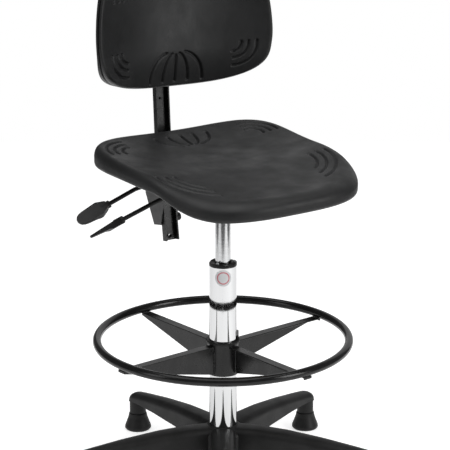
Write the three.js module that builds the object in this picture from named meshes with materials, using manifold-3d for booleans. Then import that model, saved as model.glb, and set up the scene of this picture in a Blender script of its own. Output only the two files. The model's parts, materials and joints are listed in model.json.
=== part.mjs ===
// Drafting chair: five-star base, telescopic column, foot ring, moulded seat and backrest.
// Millimetres, +Z up. The sitter faces -Y, so the sitter's right hand is on the -X side.
import * as THREE from 'three';
import { mergeVertices } from 'three/addons/utils/BufferGeometryUtils.js';
import Module from 'manifold-3d';

const wasm = await Module();
wasm.setup();

// ---------------------------------------------------------------- driving dimensions
const GAP = 0.3;                 // between parts that rest on each other
const RUN = 0.35;                // round a part that turns or slides
const ROUND = 32;                // sides of a visible round part
const SMALL_ROUND = 14;          // sides of a screw or pin

const BASE_YAW = -120.9;         // direction of the first leg, degrees from +X
const LEG_COUNT = 5;
const GLIDE_CIRCLE = 277.5;      // column axis to glide axis
const LEG_END = 289;             // column axis to the end of a leg
const LEG_WIDTH = 47;            // at the hub
const HUB_TOP = 99;
const HUB_RADIUS = 36;

const TUBE_RADIUS = 25;          // outer column tube, 50 mm
const TUBE_WALL = 1.5;
const TUBE_TOP = 402;
const TUBE_BOTTOM = 34;
const COLLAR_TOP = 409;
const BUSH_LENGTH = 78;
const LIFT_RADIUS = 14;          // gas cylinder, 28 mm
const LIFT_TOP = 528;
const LIFT_LENGTH = 330;
const PISTON_RADIUS = 4;

const RING_RADIUS = 227.5;       // centreline of the foot ring
const RING_TUBE = 7.5;
const RING_HEIGHT = 262;
const SPOKE_COUNT = 4;
const SPOKE_YAW = 8;
const SPOKE_WIDTH = 18;
const SPOKE_PAST_RING = 3;       // how far a spoke's end reaches beyond the ring's centreline
const RING_HUB_RADIUS = 28.5;
const RING_HUB_TOP = 258;
const RING_HUB_HEIGHT = 60;

const PLATE_TOP = 557.7;         // top face of the seat plate
const PLATE = { x: 86, front: -70, rear: 130 };
const SHEET = 2.5;               // folded sheet steel
const HOUSING_HALF = 52;
const HOUSING_BOTTOM = 503;
const HOUSING_FRONT = -44;
const HOUSING_REAR = 115;

const SEAT_HALF = 199;
const SEAT_FRONT = -241;
const SEAT_REAR = 183;
const SEAT_BOTTOM = 558;
const SEAT_ROUNDNESS = { front: 3.0, rear: 4.6 };   // exponents of the squared-round outline
const BOARD = { x: 95, front: -150, rear: 110, thickness: 10 };

const TILT_PIVOT = { y: 60, z: 521 };
const BAR_WIDTH = 28;
const BAR_DEPTH = 13;
const BAR_LEAN = 8.7;            // degrees, below the bend
const BAR_UPPER_LEAN = 3.5;      // degrees, above the bend
const BAR_FOOT = { y: 184, z: 402 };
const BAR_BEND_Z = 585;
const BAR_TOP_Z = 858;
const BAR_HOLES = [[410, 2.5], [666, 2.5], [790, 3.4], [825, 3.4]];   // height and radius
const CLAMP = { y: 206, z: 439 };

const BACK_HALF = 183;
const BACK_BOTTOM = 698;
const BACK_TOP = 943;
const BACK_FRONT = 157;          // front face at mid width, at the bottom edge
const BACK_THICKNESS = 46;
const BACK_LEAN = 4;

const LEVER_PIVOT_X = -42;
const LEVER_HEIGHT = 539;
const LEVER_RADIUS = 4;
const PADDLE = { width: 28, length: 65 };
const LEVERS = {
  height: { y: 12, innerX: -22, bendX: -117, slope: 18.6, run: 99, twist: 28 },
  tilt: { y: 100, innerX: -24, bendX: -116, slope: 20.5, run: 79, twist: -34 },
};

// ---------------------------------------------------------------- materials
function paint(color, roughness, metalness) {
  return new THREE.MeshStandardMaterial({ color, roughness, metalness });
}
const CHROME = paint(0xd8dadd, 0.12, 1.0);
const BLACK_NYLON = paint(0x1b1c1d, 0.55, 0.0);
const BLACK_PAINT = paint(0x151617, 0.4, 0.3);
const BLACK_FOAM = paint(0x232425, 0.62, 0.0);
const ZINC_STEEL = paint(0x8d9093, 0.35, 0.9);
const PLYWOOD = paint(0xb08a5a, 0.8, 0.0);

// ---------------------------------------------------------------- helpers
const chair = new THREE.Group();
const degrees = (angle) => THREE.MathUtils.degToRad(angle);
const vec = (x, y, z) => new THREE.Vector3(x, y, z);

// A closed mesh with shared vertices and no triangle of zero area.
function closed(geometry) {
  const bare = new THREE.BufferGeometry();
  bare.setAttribute('position', geometry.attributes.position.clone());
  if (geometry.index) bare.setIndex(geometry.index.clone());
  const merged = mergeVertices(bare, 1e-4);
  const kept = [];
  for (let i = 0; i < merged.index.count; i += 3) {
    const [a, b, c] = [0, 1, 2].map((k) => merged.index.getX(i + k));
    if (a !== b && b !== c && c !== a) kept.push(a, b, c);
  }
  merged.setIndex(kept);
  return merged;
}

function solid(geometry) {
  const merged = closed(geometry);
  return new wasm.Manifold(new wasm.Mesh({
    numProp: 3,
    vertProperties: new Float32Array(merged.attributes.position.array),
    triVerts: new Uint32Array(merged.index.array),
  }));
}

function asGeometry(manifold) {
  const mesh = manifold.getMesh();
  const geometry = new THREE.BufferGeometry();
  geometry.setAttribute('position', new THREE.BufferAttribute(mesh.vertProperties, 3));
  geometry.setIndex(new THREE.BufferAttribute(mesh.triVerts, 1));
  return geometry;
}

function add(name, shape, material) {
  const geometry = shape.isBufferGeometry ? shape : asGeometry(shape);
  geometry.computeVertexNormals();
  const mesh = new THREE.Mesh(geometry, material);
  mesh.name = name;
  chair.add(mesh);
  return mesh;
}

const join = (first, ...rest) => rest.reduce((sum, next) => sum.add(next), first);
const cut = (first, ...rest) => rest.reduce((sum, next) => sum.subtract(next), first);

// A turned part about the Z axis: the profile is a closed loop of [radius, z] points.
function turned(profile, sides = ROUND) {
  const points = profile.map(([r, z]) => new THREE.Vector2(r, z));
  if (THREE.ShapeUtils.area(points) < 0) points.reverse();
  points.push(points[0].clone());
  return closed(new THREE.LatheGeometry(points, sides).rotateX(Math.PI / 2));
}

function tube(outer, inner, low, high, sides = ROUND) {
  return turned([[inner, low], [outer, low], [outer, high], [inner, high]], sides);
}

function rod(radius, low, high, sides = SMALL_ROUND) {
  return new THREE.CylinderGeometry(radius, radius, high - low, sides)
    .rotateX(Math.PI / 2)
    .translate(0, 0, (low + high) / 2);
}

// A rod along X.
function crossRod(radius, from, to, y, z, sides = SMALL_ROUND) {
  return rod(radius, from, to, sides).rotateY(Math.PI / 2).translate(0, y, z);
}

function block(x0, x1, y0, y1, z0, z1) {
  return new THREE.BoxGeometry(x1 - x0, y1 - y0, z1 - z0)
    .translate((x0 + x1) / 2, (y0 + y1) / 2, (z0 + z1) / 2);
}

// An outline in the Y-Z plane, given as [y, z] points, made `width` wide about X = middle.
function sideShape(outline, width, middle = 0) {
  const shape = new THREE.Shape(outline.map(([y, z]) => new THREE.Vector2(y, z)));
  return new THREE.ExtrudeGeometry(shape, { depth: width, bevelEnabled: false })
    .applyMatrix4(new THREE.Matrix4().makeBasis(vec(0, 1, 0), vec(0, 0, 1), vec(1, 0, 0)))
    .translate(middle - width / 2, 0, 0);
}

// Moves every vertex of a geometry by a function of its position.
function reshape(geometry, move) {
  const place = geometry.attributes.position;
  const point = new THREE.Vector3();
  for (let i = 0; i < place.count; i += 1) {
    point.fromBufferAttribute(place, i);
    const moved = move(point);
    place.setXYZ(i, moved.x, moved.y, moved.z);
  }
  return geometry;
}

// A box of unit half-size, split into cells, whose points are placed by `move`.
function shapedBox(cellsX, cellsY, cellsZ, move) {
  return reshape(new THREE.BoxGeometry(2, 2, 2, cellsX, cellsY, cellsZ), move);
}

// ---------------------------------------------------------------- base
// One arched leg along +Y: an upside-down channel with a post for the glide's stem.
function baseLeg() {
  const top = [[20, HUB_TOP - 4], [60, 94], [120, 89], [190, 81], [250, 73], [274, 69], [284, 64]];
  const under = [[LEG_END, 52], [LEG_END, 38], [284, 34], [260, 34], [200, 40], [120, 46], [20, 46]];
  const hollow = [[20, 87], [60, 88], [120, 83], [190, 75], [250, 66], [260, 58], [260, 20], [20, 20]];
  const narrow = (point) => {
    const share = THREE.MathUtils.clamp((point.y - 40) / (LEG_END - 40), 0, 1);
    return vec(point.x * (1 - 0.26 * share), point.y, point.z);
  };
  const outer = solid(reshape(sideShape([...top, ...under], LEG_WIDTH), narrow));
  const channel = solid(reshape(sideShape(hollow, LEG_WIDTH - 8), narrow));
  const stemHole = solid(rod(5.8, 20, 60).translate(0, GLIDE_CIRCLE, 0));
  return cut(outer, channel, stemHole);
}

function starBase() {
  const hubWall = [[HUB_RADIUS + 4, 44], [HUB_RADIUS, HUB_TOP - 4], [HUB_RADIUS - 3, HUB_TOP]];
  const hubOutline = [[0, 44], ...hubWall, [0, HUB_TOP]];
  const leg = baseLeg();
  let star = join(solid(turned(hubOutline)), solid(turned([[0, 30], [31, 30], [31, 50], [0, 50]])));
  for (let i = 0; i < LEG_COUNT; i += 1) {
    star = star.add(leg.rotate([0, 0, BASE_YAW - 90 + (360 / LEG_COUNT) * i]));
  }
  const bore = TUBE_RADIUS + RUN;
  const socket = [[0, TUBE_BOTTOM - GAP], [bore, TUBE_BOTTOM - GAP], [bore, 140], [0, 140]];
  return cut(star, solid(turned(socket)));
}
add('star_base', starBase(), BLACK_NYLON);

function glide() {
  const bell = [[0, 0], [24.5, 0], [26, 2.5], [25.5, 6], [21, 16], [16, 26], [15, 33.6]];
  const stem = [[5.5, 33.6], [5.5, 58], [0, 58]];
  return turned([...bell, ...stem], 24);
}
for (let i = 0; i < LEG_COUNT; i += 1) {
  const angle = degrees(BASE_YAW + (360 / LEG_COUNT) * i);
  add(`glide_${i + 1}`, glide(), BLACK_NYLON)
    .position.set(GLIDE_CIRCLE * Math.cos(angle), GLIDE_CIRCLE * Math.sin(angle), 0);
}

// ---------------------------------------------------------------- column
const tubeBore = TUBE_RADIUS - TUBE_WALL;
add('column_tube', tube(TUBE_RADIUS, tubeBore, TUBE_BOTTOM, TUBE_TOP), CHROME);

// The long plastic bush that guides the gas cylinder, with its lobed collar on top of the tube.
function columnBush() {
  const bore = LIFT_RADIUS + RUN;
  const sleeve = [[bore, TUBE_TOP - BUSH_LENGTH], [tubeBore - GAP, TUBE_TOP - BUSH_LENGTH]];
  const shoulder = [[tubeBore - GAP, TUBE_TOP + GAP], [TUBE_RADIUS, TUBE_TOP + GAP]];
  const top = [[TUBE_RADIUS, COLLAR_TOP - 2], [TUBE_RADIUS - 2, COLLAR_TOP], [bore, COLLAR_TOP]];
  return turned([...sleeve, ...shoulder, ...top]);
}
add('column_bush', columnBush(), BLACK_NYLON);

const END_PLATE = 44;
add('column_end_plate', tube(tubeBore - GAP, PISTON_RADIUS + RUN, END_PLATE, END_PLATE + 3), ZINC_STEEL);
add('thrust_bearing', tube(11, PISTON_RADIUS + RUN, END_PLATE + 3 + GAP, END_PLATE + 7, 20), ZINC_STEEL);

const PISTON_HEAD = 392;
function pistonRod() {
  const foot = [[0, 38], [PISTON_RADIUS, 38], [PISTON_RADIUS, END_PLATE + 7 + GAP]];
  const shoulder = [[8, END_PLATE + 7 + GAP], [8, END_PLATE + 10], [PISTON_RADIUS, END_PLATE + 10]];
  const head = [[PISTON_RADIUS, PISTON_HEAD], [12, PISTON_HEAD], [12, PISTON_HEAD + 8], [0, PISTON_HEAD + 8]];
  return turned([...foot, ...shoulder, ...head], 20);
}
add('piston_rod', pistonRod(), ZINC_STEEL);
add('retaining_clip', tube(7.5, PISTON_RADIUS + 0.05, END_PLATE - 3, END_PLATE - GAP, 20), ZINC_STEEL);

// ---------------------------------------------------------------- foot ring
add('foot_ring', closed(new THREE.TorusGeometry(RING_RADIUS, RING_TUBE, 10, 64)), BLACK_PAINT)
  .position.set(0, 0, RING_HEIGHT);

// A bent-sheet spoke along +Y: a flat top with a web down its -X side and a small end plate under the ring.
function spoke() {
  const high = RING_HEIGHT - RING_TUBE - GAP;
  const start = RING_HUB_RADIUS + GAP;
  const end = RING_RADIUS + SPOKE_PAST_RING;
  const outline = [[start, high], [end, high], [end, high - 5], [start, high - 53]];
  const [near, far, roof, below] = [start - 5, end - SHEET, high - SHEET, 150];
  const inside = [[near, roof], [far, roof], [far, below], [near, below]];
  return cut(solid(sideShape(outline, SPOKE_WIDTH)), solid(sideShape(inside, SPOKE_WIDTH, SHEET)));
}
for (let i = 0; i < SPOKE_COUNT; i += 1) {
  add(`foot_spoke_${i + 1}`, spoke().rotate([0, 0, SPOKE_YAW - 90 + (360 / SPOKE_COUNT) * i]), BLACK_PAINT);
}

const hubBore = TUBE_RADIUS + RUN;
const hubLow = RING_HUB_TOP - RING_HUB_HEIGHT;
add('footring_hub', tube(RING_HUB_RADIUS, 26.4, hubLow, RING_HUB_TOP), BLACK_PAINT);

// The plastic sleeve inside the hub, its top flange and the grip tab that stands beside the tube.
function footringBush() {
  const sleeve = [[hubBore, hubLow], [26.1, hubLow], [26.1, RING_HUB_TOP + GAP]];
  const flange = [[31.3, RING_HUB_TOP + GAP], [31.3, RING_HUB_TOP + 3], [30, RING_HUB_TOP + 4]];
  const body = solid(turned([...sleeve, ...flange, [hubBore, RING_HUB_TOP + 4]]));
  const tab = solid(block(hubBore + 0.1, hubBore + 2.8, -6, 6, RING_HUB_TOP + 1, RING_HUB_TOP + 19));
  return join(body, tab.rotate([0, 0, BASE_YAW + 90]));
}
add('footring_bush', footringBush(), BLACK_NYLON);

// ---------------------------------------------------------------- gas lift
function gasCylinder() {
  const bore = LIFT_RADIUS - 1.5;
  const low = LIFT_TOP - LIFT_LENGTH;
  const outside = [[bore, low], [LIFT_RADIUS, low], [LIFT_RADIUS, LIFT_TOP - 2], [LIFT_RADIUS - 2, LIFT_TOP]];
  const topHole = [[3.4, LIFT_TOP], [3.4, LIFT_TOP - 5], [bore, LIFT_TOP - 5]];
  return turned([...outside, ...topHole]);
}
add('gas_cylinder', gasCylinder(), CHROME);
const sealLow = LIFT_TOP - LIFT_LENGTH + 2;
const sealRadius = LIFT_RADIUS - 1.5 - GAP;
add('cylinder_seal', tube(sealRadius, PISTON_RADIUS + RUN, sealLow, sealLow + 12, 20), BLACK_NYLON);
const BUTTON_TOP = LEVER_HEIGHT - 3.3;
add('release_button', rod(3, LIFT_TOP - 12, BUTTON_TOP), ZINC_STEEL);

// ---------------------------------------------------------------- seat mechanism
const plateLow = PLATE_TOP - SHEET;
const SCREW = { x: 72, ys: [-50, 95], radius: 3, hole: 3.3, head: 5.5, headHeight: 3.5 };
const screwPlaces = SCREW.ys.flatMap((y) => [[-SCREW.x, y], [SCREW.x, y]]);
const screwHole = (low, high, [x, y]) => solid(rod(SCREW.hole, low, high).translate(x, y, 0));
const screwHoles = (low, high) => screwPlaces.map((place) => screwHole(low, high, place));

const plate = solid(block(-PLATE.x, PLATE.x, PLATE.front, PLATE.rear, plateLow, PLATE_TOP));
add('seat_plate', cut(plate, ...screwHoles(540, 570)), BLACK_PAINT);

function housing() {
  const half = HOUSING_HALF;
  const outer = block(-half, half, HOUSING_FRONT, HOUSING_REAR, HOUSING_BOTTOM, plateLow - GAP);
  const wall = half - SHEET;
  const channel = block(-wall, wall, HOUSING_FRONT - 9, HOUSING_REAR + 9, HOUSING_BOTTOM + SHEET, 600);
  const armSlot = block(-21, 21, 36, HOUSING_REAR + 9, 480, 515);
  const socketHole = rod(19 + GAP, 480, 515, ROUND);
  const leverSlots = [12, 100].map((y) => block(-70, -40, y - 7, y + 7, 530, 550));
  const pinHole = crossRod(5 + GAP, -80, 80, TILT_PIVOT.y, TILT_PIVOT.z);
  return cut(solid(outer), ...[channel, armSlot, socketHole, ...leverSlots, pinHole].map(solid));
}
add('mechanism_housing', housing(), BLACK_PAINT);
add('lift_socket', tube(19, LIFT_RADIUS + GAP, 493, 527), ZINC_STEEL);
add('tilt_pin', crossRod(5, -HOUSING_HALF - 4, HOUSING_HALF + 4, TILT_PIVOT.y, TILT_PIVOT.z, 20), ZINC_STEEL);

function screw(headLow, length) {
  const headHigh = headLow + SCREW.headHeight;
  const head = [[0, headLow], [SCREW.head, headLow], [SCREW.head, headHigh], [SCREW.radius, headHigh]];
  return turned([...head, [SCREW.radius, headLow + length], [0, headLow + length]], SMALL_ROUND);
}
screwPlaces.forEach(([x, y], i) => {
  const fixing = screw(plateLow - GAP - SCREW.headHeight, 15);
  add(`seat_screw_${i + 1}`, fixing, ZINC_STEEL).position.set(x, y, 0);
});

// A plastic fork on the inside of the housing wall that carries one lever's pivot pin.
function leverBracket(y) {
  const wall = -(HOUSING_HALF - SHEET - GAP);
  const body = solid(block(wall, wall + 14, y - 9, y + 9, 528, 549));
  const notch = solid(block(wall - 5, wall + 20, y - 5, y + 5, 532, 560));
  const hole = solid(rod(2 + 0.1, -12, 12).rotateX(Math.PI / 2).translate(LEVER_PIVOT_X, y, LEVER_HEIGHT));
  return cut(body, notch, hole);
}

// A lever rod: level through the housing wall, then sloping down to its paddle.
function leverRod(lever) {
  const bend = 12;
  const slope = degrees(lever.slope);
  const level = (x) => vec(x, lever.y, LEVER_HEIGHT);
  const corner = level(lever.bendX);
  const down = (run) => corner.clone().sub(vec(run * Math.cos(slope), 0, run * Math.sin(slope)));
  const path = new THREE.CurvePath();
  path.add(new THREE.LineCurve3(level(lever.innerX), level(corner.x + bend)));
  path.add(new THREE.QuadraticBezierCurve3(level(corner.x + bend), corner, down(bend)));
  path.add(new THREE.LineCurve3(down(bend), down(lever.run)));
  const section = new THREE.Shape().absarc(0, 0, LEVER_RADIUS, 0, Math.PI * 2);
  const bar = new THREE.ExtrudeGeometry(section, { curveSegments: 5, steps: 12, extrudePath: path });
  const hole = rod(2 + RUN, -12, 12).rotateX(Math.PI / 2).translate(LEVER_PIVOT_X, lever.y, LEVER_HEIGHT);
  return { rod: cut(solid(bar), solid(hole)), end: down(lever.run) };
}

// A moulded paddle along -X from its round neck: rounded in plan and thinning towards the tip.
function paddle() {
  const half = PADDLE.width / 2;
  const tip = -PADDLE.length;
  const plan = new THREE.Shape()
    .moveTo(-3, -6.5)
    .lineTo(-19, -half)
    .lineTo(tip + 16, -half + 1.5)
    .quadraticCurveTo(tip, -half + 3, tip, 0)
    .quadraticCurveTo(tip, half - 3, tip + 16, half - 1.5)
    .lineTo(-19, half)
    .lineTo(-3, 6.5);
  const blade = new THREE.ExtrudeGeometry(plan, { depth: 16, bevelEnabled: false, curveSegments: 4 });
  const above = [[-1, 6.5], [tip - 5, 1.5], [tip - 5, 30], [-1, 30]];
  const below = [[-1, -6.5], [-24, -7], [-32, -4.5], [tip - 5, -2], [tip - 5, -30], [-1, -30]];
  const wedge = [above, below].map((side) => solid(sideShape(side, 60).rotateZ(-Math.PI / 2)));
  const neck = rod(6.9, -14, 3).rotateY(Math.PI / 2);
  const socket = rod(LEVER_RADIUS + GAP, -14, 9).rotateY(Math.PI / 2);
  return cut(join(cut(solid(blade.translate(0, 0, -8)), ...wedge), solid(neck)), solid(socket));
}

for (const [name, lever] of Object.entries(LEVERS)) {
  add(`${name}_lever_bracket`, leverBracket(lever.y), BLACK_NYLON);
  const pin = rod(2, -8.5, 8.5).rotateX(Math.PI / 2).translate(LEVER_PIVOT_X, lever.y, LEVER_HEIGHT);
  add(`${name}_lever_pin`, pin, ZINC_STEEL);
  const made = leverRod(lever);
  // The height lever ends in a flat tongue over the cylinder's button.
  const tongue = solid(block(-33, 8, -7, 14, LEVER_HEIGHT - 2.5, LEVER_HEIGHT + 2.5));
  add(`${name}_lever_rod`, name === 'height' ? made.rod.add(tongue) : made.rod, BLACK_PAINT);
  const grip = add(`${name}_lever_paddle`, paddle(), BLACK_NYLON);
  const slope = degrees(lever.slope);
  grip.rotation.set(degrees(-lever.twist), -slope, 0, 'YXZ');
  grip.position.copy(made.end).add(vec(13 * Math.cos(slope), 0, 13 * Math.sin(slope)));
}

// ---------------------------------------------------------------- back carrier and bar
// The bar's centre line: a straight lean, a gentle bend, then a smaller lean.
function barLine() {
  const bendHalf = 20;
  const bend = [-bendHalf, -7, 7, bendHalf].map((step) => BAR_BEND_Z + step);
  const heights = [BAR_FOOT.z, ...bend, BAR_TOP_Z];
  const leanAt = (z) => THREE.MathUtils.mapLinear(
    THREE.MathUtils.clamp(z, BAR_BEND_Z - bendHalf, BAR_BEND_Z + bendHalf),
    BAR_BEND_Z - bendHalf, BAR_BEND_Z + bendHalf, BAR_LEAN, BAR_UPPER_LEAN,
  );
  let y = BAR_FOOT.y;
  return heights.map((z, i) => {
    if (i) y += Math.tan(degrees(leanAt((z + heights[i - 1]) / 2))) * (z - heights[i - 1]);
    return { y, z, lean: degrees(leanAt(z)) };
  });
}

// A strip that follows the bar, from `front` to `back` of its centre line.
function barStrip(front, back, extend = 0) {
  const line = barLine();
  const first = { ...line[0] };
  first.y -= extend * Math.tan(first.lean);
  first.z -= extend;
  const last = { ...line.at(-1) };
  last.y += extend * Math.tan(last.lean);
  last.z += extend;
  const run = [first, ...line.slice(1, -1), last];
  const beside = ({ y, z, lean }, offset) => [y + offset * Math.cos(lean), z - offset * Math.sin(lean)];
  const side = (offset) => run.map((point) => beside(point, offset));
  return [...side(front), ...side(back).reverse()];
}

function backBar() {
  const half = BAR_DEPTH / 2;
  const outer = solid(sideShape(barStrip(-half, half), BAR_WIDTH));
  const channel = solid(sideShape(barStrip(-half - 9, half - SHEET, 9), BAR_WIDTH - 2 * SHEET));
  const holes = BAR_HOLES
    .map(([z, radius]) => solid(rod(radius, 150, 260).rotateX(-Math.PI / 2).translate(0, 0, z)));
  return cut(outer, channel, ...holes);
}
add('back_bar', backBar(), BLACK_PAINT);

function backCarrier() {
  const outline = [
    [46, 506], [140, 506], [184, 482], [192, 431.5], [218, 426.5],
    [250, 482], [238, 531], [120, 536], [46, 536],
  ];
  const inside = [
    [30, 533.4], [120, 533.4], [235.8, 528.6], [247.3, 482.3], [216.2, 429],
    [216.2, 415], [150, 415], [120, 495], [30, 495],
  ];
  const outer = solid(sideShape(outline, 34.4));
  const cavity = solid(sideShape(inside, 29.4));
  const barPath = solid(sideShape(barStrip(-9, 9), 29.4));
  const pivot = solid(crossRod(5 + RUN, -40, 40, TILT_PIVOT.y, TILT_PIVOT.z, 20));
  const clampHole = solid(crossRod(4 + RUN, 0, 40, CLAMP.y, CLAMP.z));
  return cut(outer, cavity, barPath, pivot, clampHole);
}
add('back_carrier', backCarrier(), ZINC_STEEL);

// A nylon block that fills the carrier behind the bar and guides it.
function guideBlock() {
  const lean = Math.tan(degrees(BAR_LEAN));
  const faceAt = (z) => BAR_FOOT.y + (z - BAR_FOOT.z) * lean + BAR_DEPTH / 2 + 0.6;
  const [low, high] = [468, 520];
  const rear = [[faceAt(low) + 22, low], [faceAt(high) + 20, high]];
  return sideShape([[faceAt(low), low], ...rear, [faceAt(high), high]], 28.8);
}
add('bar_guide_block', guideBlock(), BLACK_NYLON);

add('clamp_bolt', crossRod(4, 14.3, 20, CLAMP.y, CLAMP.z), ZINC_STEEL);
function clampKnob() {
  const knob = solid(crossRod(8, 17.5, 31, CLAMP.y, CLAMP.z, 12));
  return cut(knob, solid(crossRod(4 + 0.1, 10, 20.3, CLAMP.y, CLAMP.z)));
}
add('clamp_knob', clampKnob(), BLACK_NYLON);

// ---------------------------------------------------------------- seat
// Places a point of the unit square inside a squared-round outline of the unit size.
function squareRound(u, v, power) {
  const reach = (Math.abs(u) ** power + Math.abs(v) ** power) ** (1 / power);
  const share = reach > 0 ? Math.max(Math.abs(u), Math.abs(v)) / reach : 1;
  return [u * share, v * share];
}

const ramp = (value, from, to) => THREE.MathUtils.smoothstep(value, from, to);

function seatFoam() {
  const pad = shapedBox(12, 12, 3, (p) => {
    const [u, v] = squareRound(p.x, p.y, p.y > 0 ? SEAT_ROUNDNESS.rear : SEAT_ROUNDNESS.front);
    const edge = Math.abs(p.z) > 0.9 ? 0.955 : 1;
    const x = SEAT_HALF * u * edge * (1 - 0.03 * (1 - v * v));
    const y = v * edge * (v > 0 ? SEAT_REAR : -SEAT_FRONT);
    const sideRise = 5 * u * u * ramp(v, -0.75, -0.2);
    const slope = v > 0 ? 11 * v * v + 5 * v * u * u : -18 * ramp(-v, 0.12, 0.98) * (1 - 0.3 * u ** 4);
    const top = 603 + sideRise + slope - 10 * (1 - u * u) * (1 - v * v);
    const lift = Math.max(ramp(Math.abs(x), 100, 190) * ramp(y, -180, -80), ramp(y, 116, 180));
    const bottom = SEAT_BOTTOM + 22 * lift - 8 * ramp(-y, 150, 215);
    return vec(x, y, THREE.MathUtils.lerp(bottom, top, (p.z + 1) / 2));
  });
  const high = SEAT_BOTTOM + BOARD.thickness + GAP;
  const recess = block(-BOARD.x - GAP, BOARD.x + GAP, BOARD.front - GAP, BOARD.rear + GAP, 540, high);
  return cut(solid(pad), solid(recess));
}
add('seat_foam', seatFoam(), BLACK_FOAM);

function seatBoard() {
  const high = SEAT_BOTTOM + BOARD.thickness;
  const board = solid(block(-BOARD.x, BOARD.x, BOARD.front, BOARD.rear, SEAT_BOTTOM, high));
  return cut(board, ...screwHoles(540, high - 1.5));
}
add('seat_board', seatBoard(), PLYWOOD);

// ---------------------------------------------------------------- backrest
// Built upright with its front face at Y = 0 and its lower edge at Z = 0, then leaned back.
const backFrame = new THREE.Matrix4()
  .makeTranslation(0, BACK_FRONT, BACK_BOTTOM)
  .multiply(new THREE.Matrix4().makeRotationX(-degrees(BACK_LEAN)));
const BACK_BOARD = { x: 78, low: 40, high: 200, front: BACK_THICKNESS - 8 };
const BRACKET = { x: 34, low: 70, high: 150, screwX: 26, screwZ: [82, 138] };

function addToBack(name, shape, material) {
  const mesh = add(name, shape, material);
  mesh.applyMatrix4(backFrame);
  return mesh;
}

function backFoam() {
  const height = (BACK_TOP - BACK_BOTTOM) / Math.cos(degrees(BACK_LEAN));
  const pad = shapedBox(12, 3, 8, (p) => {
    const [u, v] = squareRound(p.x, p.z, 3.6);
    const edge = Math.abs(p.y) > 0.9 ? 0.97 : 1;
    const aboveCorners = ramp(v, -0.85, -0.4);
    const narrowing = 0.16 * Math.max(0, (v + 0.3) / 1.3) ** 2 + 0.017 * aboveCorners;
    const x = BACK_HALF * u * edge * (1 - narrowing);
    const z = (height / 2) * (1 + v * edge) + 7.5 * (v < 0 ? u * u * v * v : 0);
    const wing = Math.max(0, (Math.abs(u) - 0.44) / 0.56) ** 2;
    const curl = 15 * ramp(-v, 0.45, 1.15) * (1 - 0.6 * u * u);
    const front = (9 * aboveCorners - 60) * Math.abs(u) ** 2.1 + curl;
    const rear = BACK_THICKNESS - 77 * wing;
    return vec(x, THREE.MathUtils.lerp(front, rear, (p.y + 1) / 2), z);
  });
  const { x, low, high, front } = BACK_BOARD;
  const recess = block(-x - GAP, x + GAP, front - GAP, 90, low - GAP, high + GAP);
  return cut(solid(pad), solid(recess));
}
addToBack('backrest_foam', backFoam(), BLACK_FOAM);

const backScrews = BRACKET.screwZ.flatMap((z) => [[-BRACKET.screwX, z], [BRACKET.screwX, z]]);
// A rod along Y in the backrest's frame.
const backRod = (radius, from, to, x, z) => rod(radius, -to, -from).rotateX(Math.PI / 2).translate(x, 0, z);

function backBoard() {
  const { x, low, high, front } = BACK_BOARD;
  const holes = backScrews.map(([sx, sz]) => solid(backRod(SCREW.hole, front + 1.5, 90, sx, sz)));
  return cut(solid(block(-x, x, front, BACK_THICKNESS, low, high)), ...holes);
}
addToBack('backrest_board', backBoard(), PLYWOOD);

// The plate on the board and the tongue that fills the bar's channel.
function backBracket() {
  const front = BACK_THICKNESS + GAP;
  const plate = solid(block(-BRACKET.x, BRACKET.x, front, front + 3, BRACKET.low, BRACKET.high));
  const tongue = solid(block(-11, 11, front + 1, front + 13, BRACKET.low + 4, BRACKET.high - 4));
  const holes = backScrews.map(([x, z]) => solid(backRod(SCREW.hole, 30, 90, x, z)));
  return cut(join(plate, tongue), ...holes);
}
addToBack('backrest_bracket', backBracket(), BLACK_PAINT);

backScrews.forEach(([x, z], i) => {
  const headFront = BACK_THICKNESS + 3 + 2 * GAP;
  const shank = solid(backRod(SCREW.radius, BACK_BOARD.front + 2, headFront + 1, x, z));
  const head = solid(backRod(SCREW.head - 1, headFront, headFront + 3, x, z));
  addToBack(`backrest_screw_${i + 1}`, join(shank, head), ZINC_STEEL);
});

// ---------------------------------------------------------------- placing
// The origin is on the floor, at the middle of the chair's outline seen from above.
const outline = new THREE.Box3().setFromObject(chair, true);
const centre = outline.getCenter(new THREE.Vector3());
chair.position.set(-centre.x, -centre.y, 0);

export default chair;
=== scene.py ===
import json
import math

import bmesh
import bpy
import numpy as np
from mathutils import Matrix, Vector


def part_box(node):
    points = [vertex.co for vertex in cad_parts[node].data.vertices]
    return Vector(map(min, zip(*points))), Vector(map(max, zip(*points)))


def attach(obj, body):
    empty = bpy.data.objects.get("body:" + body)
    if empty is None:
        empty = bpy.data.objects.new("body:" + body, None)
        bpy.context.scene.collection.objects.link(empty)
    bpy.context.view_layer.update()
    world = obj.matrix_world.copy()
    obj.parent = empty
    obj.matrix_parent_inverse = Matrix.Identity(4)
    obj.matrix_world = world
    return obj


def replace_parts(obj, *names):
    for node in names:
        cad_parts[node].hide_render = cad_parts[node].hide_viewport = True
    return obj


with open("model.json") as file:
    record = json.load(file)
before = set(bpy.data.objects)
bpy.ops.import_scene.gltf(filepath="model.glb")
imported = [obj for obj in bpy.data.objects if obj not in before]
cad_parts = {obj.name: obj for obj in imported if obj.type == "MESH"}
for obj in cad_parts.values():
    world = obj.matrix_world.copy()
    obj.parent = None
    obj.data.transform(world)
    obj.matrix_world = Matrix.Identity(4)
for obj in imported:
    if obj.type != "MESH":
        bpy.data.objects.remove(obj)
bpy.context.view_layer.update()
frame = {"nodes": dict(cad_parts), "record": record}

MM = 0.001
CLEAR = 0.3                                       # gap left between pieces that fit together, in millimetres
SLOT = {part["node"]: part["material_slot"] for part in frame["record"]["subparts"]}
BODY = {node: body for body, nodes in frame["record"]["behaviour"]["bodies"].items() for node in nodes}


def column_axis():
    low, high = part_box("column_tube")
    return np.array([(low.x + high.x) / 2, (low.y + high.y) / 2, 0.0])


AXIS = column_axis()


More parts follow.
